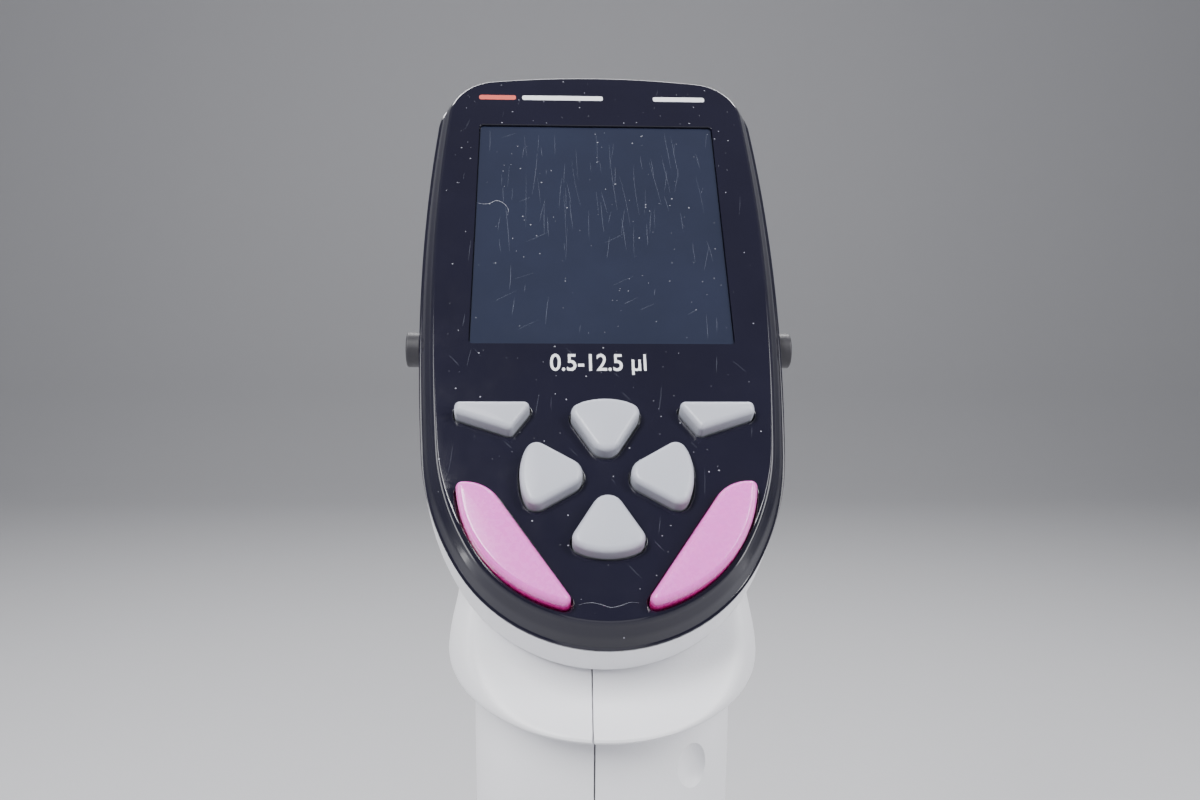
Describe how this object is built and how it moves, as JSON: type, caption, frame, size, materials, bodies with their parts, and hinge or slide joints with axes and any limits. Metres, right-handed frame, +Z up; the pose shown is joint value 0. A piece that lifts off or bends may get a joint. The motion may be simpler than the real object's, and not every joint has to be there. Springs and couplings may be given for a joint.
{
  "type": "electronic pipette",
  "caption": "Hand-held electronic single-channel pipette: tilted display head with keys, hollow handle with motor-driven piston, finger hook, trigger and tip ejector.",
  "frame": {"origin": "centre of the tip cone's end face", "axes": "+Z up the handle's axis, the display faces -Y, +X to the right of someone reading the display"},
  "size_m": [0.055, 0.0699, 0.2705],
  "materials": {
    "bezel_black": "polished near-black plastic with fine scratches",
    "window_clear": "clear acrylic pane, lightly scratched",
    "lcd_dark": "unlit display",
    "foam_black": "closed-cell foam",
    "silicone_grey": "silicone",
    "board_green": "solder mask",
    "battery_wrap": "shrink film",
    "shell_white": "satin moulded plastic",
    "contact_gold": "gold flash",
    "screw_steel": "zinc-plated steel",
    "stud_rubber": "matt soft-touch",
    "ring_grey": "satin",
    "key_grey": "satin moulded plastic, softly rounded",
    "key_magenta": "translucent magenta",
    "bracket_steel": "stamped steel",
    "switch_black": "moulded",
    "spring_steel": "spring wire",
    "flex_amber": "polyimide film",
    "frame_black": "glass-filled",
    "motor_steel": "drawn can",
    "bearing_brass": "sintered bronze",
    "magnet_dark": "coated ferrite",
    "nut_natural": "natural acetal",
    "piston_steel": "ground stainless",
    "barrel_grey": "satin",
    "seal_ptfe": "PTFE",
    "cone_grey": "autoclavable plastic",
    "seal_black": "O-ring",
    "sleeve_white": "satin moulded plastic"
  },
  "bodies": {
    "handle": {"front_bezel": "bezel_black", "display_window": "window_clear", "lcd_panel": "lcd_dark", "display_gasket": "foam_black", "key_mat": "silicone_grey", "main_circuit_board": "board_green", "battery_pack": "battery_wrap", "head_rear_shell": "shell_white", "charging_contacts": "contact_gold", "head_screws": "screw_steel", "hanger_stud_left": "stud_rubber", "hanger_stud_right": "stud_rubber", "handle_left_shell": "shell_white", "handle_right_shell": "shell_white", "finger_rest": "shell_white", "end_ring": "ring_grey", "handle_screws": "screw_steel", "trigger_pin": "screw_steel", "pin_bracket": "bracket_steel", "handle_circuit_board": "board_green", "trigger_switch": "switch_black", "trigger_spring": "spring_steel", "flex_cable": "flex_amber", "guide_tube": "frame_black", "motor_body": "motor_steel", "motor_bearings": "bearing_brass", "lower_barrel": "barrel_grey", "piston_seal": "seal_ptfe", "seal_retainer": "bearing_brass", "tip_cone": "cone_grey", "tip_seal_ring": "seal_black", "ejector_spring": "spring_steel"},
    "index_trigger": {"trigger": "key_grey"},
    "screw_rotor": {"lead_screw": "screw_steel", "rotor_magnet": "magnet_dark"},
    "piston_carriage": {"drive_nut": "nut_natural", "piston_rod": "nut_natural", "piston": "piston_steel"},
    "tip_ejector": {"ejector_sleeve": "sleeve_white", "ejector_carrier": "barrel_grey", "ejector_rod": "screw_steel", "ejector_button": "key_grey"},
    "arrow_up_key": {"arrow_up": "key_grey"},
    "arrow_down_key": {"arrow_down": "key_grey"},
    "arrow_left_key": {"arrow_left": "key_grey"},
    "arrow_right_key": {"arrow_right": "key_grey"},
    "soft_key_left": {"soft_key_left": "key_grey"},
    "soft_key_right": {"soft_key_right": "key_grey"},
    "side_key_left": {"side_key_left": "key_magenta"},
    "side_key_right": {"side_key_right": "key_magenta"}
  },
  "joints": [
    {"name": "arrow_up_press", "type": "slide", "parent": "handle", "child": "arrow_up_key", "axis": [0, 0.766, -0.6428], "range_m": [0, 0.0007], "stiffness_N_per_m": 200, "springref_m": -0.001},
    {"name": "arrow_down_press", "type": "slide", "parent": "handle", "child": "arrow_down_key", "axis": [0, 0.766, -0.6428], "range_m": [0, 0.0007], "stiffness_N_per_m": 200, "springref_m": -0.001},
    {"name": "arrow_left_press", "type": "slide", "parent": "handle", "child": "arrow_left_key", "axis": [0, 0.766, -0.6428], "range_m": [0, 0.0007], "stiffness_N_per_m": 200, "springref_m": -0.001},
    {"name": "arrow_right_press", "type": "slide", "parent": "handle", "child": "arrow_right_key", "axis": [0, 0.766, -0.6428], "range_m": [0, 0.0007], "stiffness_N_per_m": 200, "springref_m": -0.001},
    {"name": "soft_key_left_press", "type": "slide", "parent": "handle", "child": "soft_key_left", "axis": [0, 0.766, -0.6428], "range_m": [0, 0.0007], "stiffness_N_per_m": 200, "springref_m": -0.001},
    {"name": "soft_key_right_press", "type": "slide", "parent": "handle", "child": "soft_key_right", "axis": [0, 0.766, -0.6428], "range_m": [0, 0.0007], "stiffness_N_per_m": 200, "springref_m": -0.001},
    {"name": "side_key_left_press", "type": "slide", "parent": "handle", "child": "side_key_left", "axis": [0, 0.766, -0.6428], "range_m": [0, 0.0007], "stiffness_N_per_m": 200, "springref_m": -0.001},
    {"name": "side_key_right_press", "type": "slide", "parent": "handle", "child": "side_key_right", "axis": [0, 0.766, -0.6428], "range_m": [0, 0.0007], "stiffness_N_per_m": 200, "springref_m": -0.001},
    {"name": "trigger_pull", "type": "hinge", "parent": "handle", "child": "index_trigger", "pos_m": [0, 0.0115, 0.1875], "axis": [-1, 0, 0], "range_deg": [0, 7], "stiffness_Nm_per_rad": 0.2, "springref_deg": -5.73},
    {"name": "tip_eject", "type": "slide", "parent": "handle", "child": "tip_ejector", "axis": [0, 0, -1], "range_m": [0, 0.007], "stiffness_N_per_m": 400, "springref_m": -0.004, "deforming": ["ejector_spring"]},
    {"name": "screw_turn", "type": "hinge", "parent": "handle", "child": "screw_rotor", "pos_m": [0, 0, 0.118], "axis": [0, 0, 1], "range_deg": [0, 1080]},
    {"name": "piston_stroke", "type": "slide", "parent": "handle", "child": "piston_carriage", "axis": [0, 0, 1], "range_m": [0, 0.01201]}
  ],
  "couplings": [
    {"joint": "piston_stroke", "follows": "screw_turn", "m_per_rad": 0.00063662}
  ]
}
